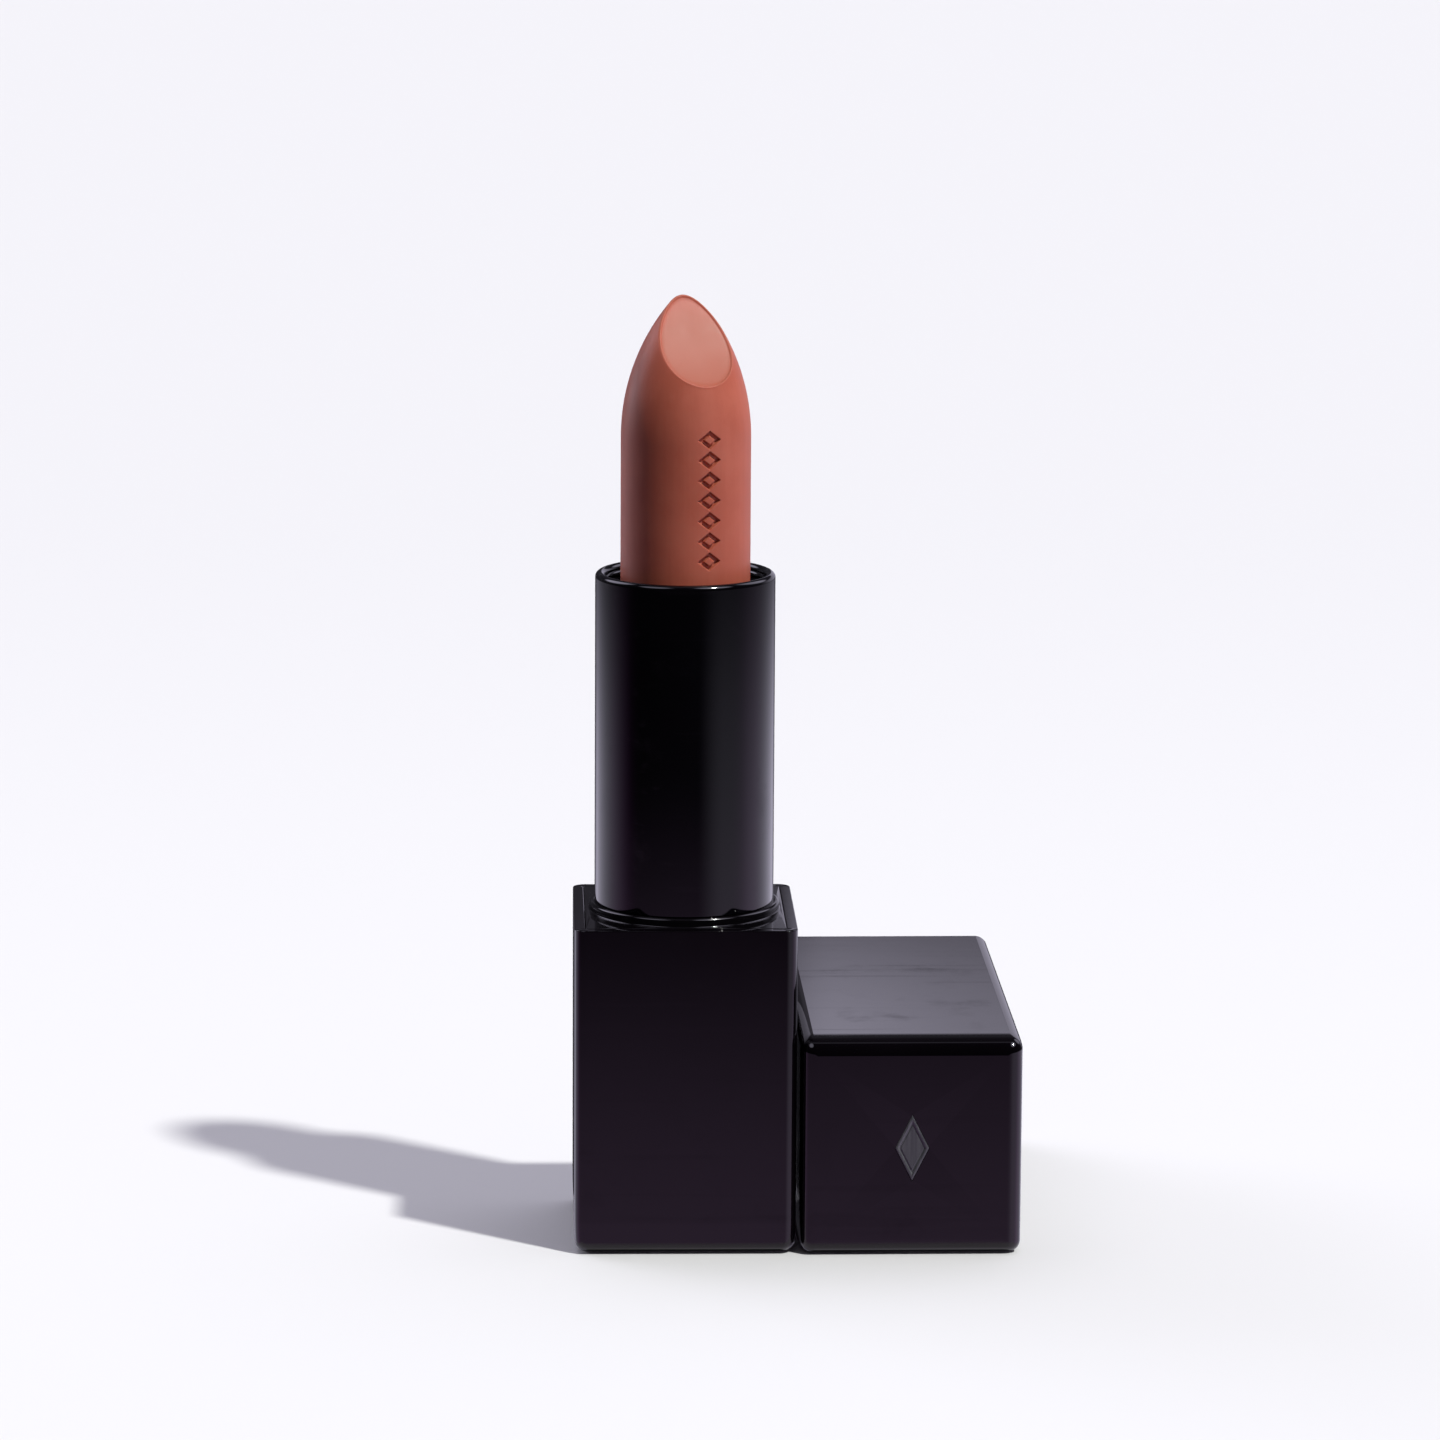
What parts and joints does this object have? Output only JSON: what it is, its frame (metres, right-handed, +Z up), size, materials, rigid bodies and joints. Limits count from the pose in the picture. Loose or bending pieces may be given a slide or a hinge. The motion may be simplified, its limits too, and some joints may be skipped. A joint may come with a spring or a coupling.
{
  "type": "lipstick case",
  "caption": "Square glossy black twist-up lipstick case, open and standing with the bullet raised, its square cap lying beside it.",
  "frame": {"origin": "centre of the base's flat bottom face", "axes": "+Z up along the tube and bullet, -Y towards the front where the cap's closed end faces, +X towards the lying cap"},
  "size_m": [0.0418, 0.0442, 0.0888],
  "materials": {
    "black_gloss_shell": "mirror gloss, injection moulded",
    "black_insert": "polished moulding, slightly softer than the shells",
    "black_tube": "drawn tube, black lacquer, high gloss",
    "dark_mechanism": "self-coloured moulding, satin",
    "lipstick": "terracotta rose wax with a soft sheen",
    "weight_steel": "turned, zinc plated",
    "ring_rubber": "moulded silicone",
    "grey_mark": "dark grey, satin, anodised",
    "label_paper": "blank coated sticker"
  },
  "bodies": {
    "base": {"base_casing": "black_gloss_shell", "base_weight": "weight_steel", "base_insert": "black_insert", "shade_label": "label_paper", "inner_sleeve": "dark_mechanism"},
    "tube": {"outer_tube": "black_tube", "spiral_sleeve": "dark_mechanism", "friction_ring": "ring_rubber"},
    "carrier": {"bullet_cup": "dark_mechanism", "lipstick_bullet": "lipstick"},
    "cap": {"cap_casing": "black_gloss_shell", "cap_liner": "black_insert", "cap_weight": "weight_steel", "cap_emblem": "grey_mark"}
  },
  "joints": [
    {"name": "tube_twist", "type": "hinge", "parent": "base", "child": "tube", "pos_m": [0, 0, 0.031], "axis": [0, 0, 1], "range_deg": [0, 540]},
    {"name": "bullet_lift", "type": "slide", "parent": "base", "child": "carrier", "axis": [0, 0, 1], "range_m": [-0.0276, 0]},
    {"name": "cap_lift", "type": "slide", "parent": "base", "child": "cap", "axis": [0, 0, 1], "range_m": [0, 0.09]}
  ],
  "couplings": [
    {"joint": "bullet_lift", "follows": "tube_twist", "m_per_rad": -0.0029178}
  ]
}
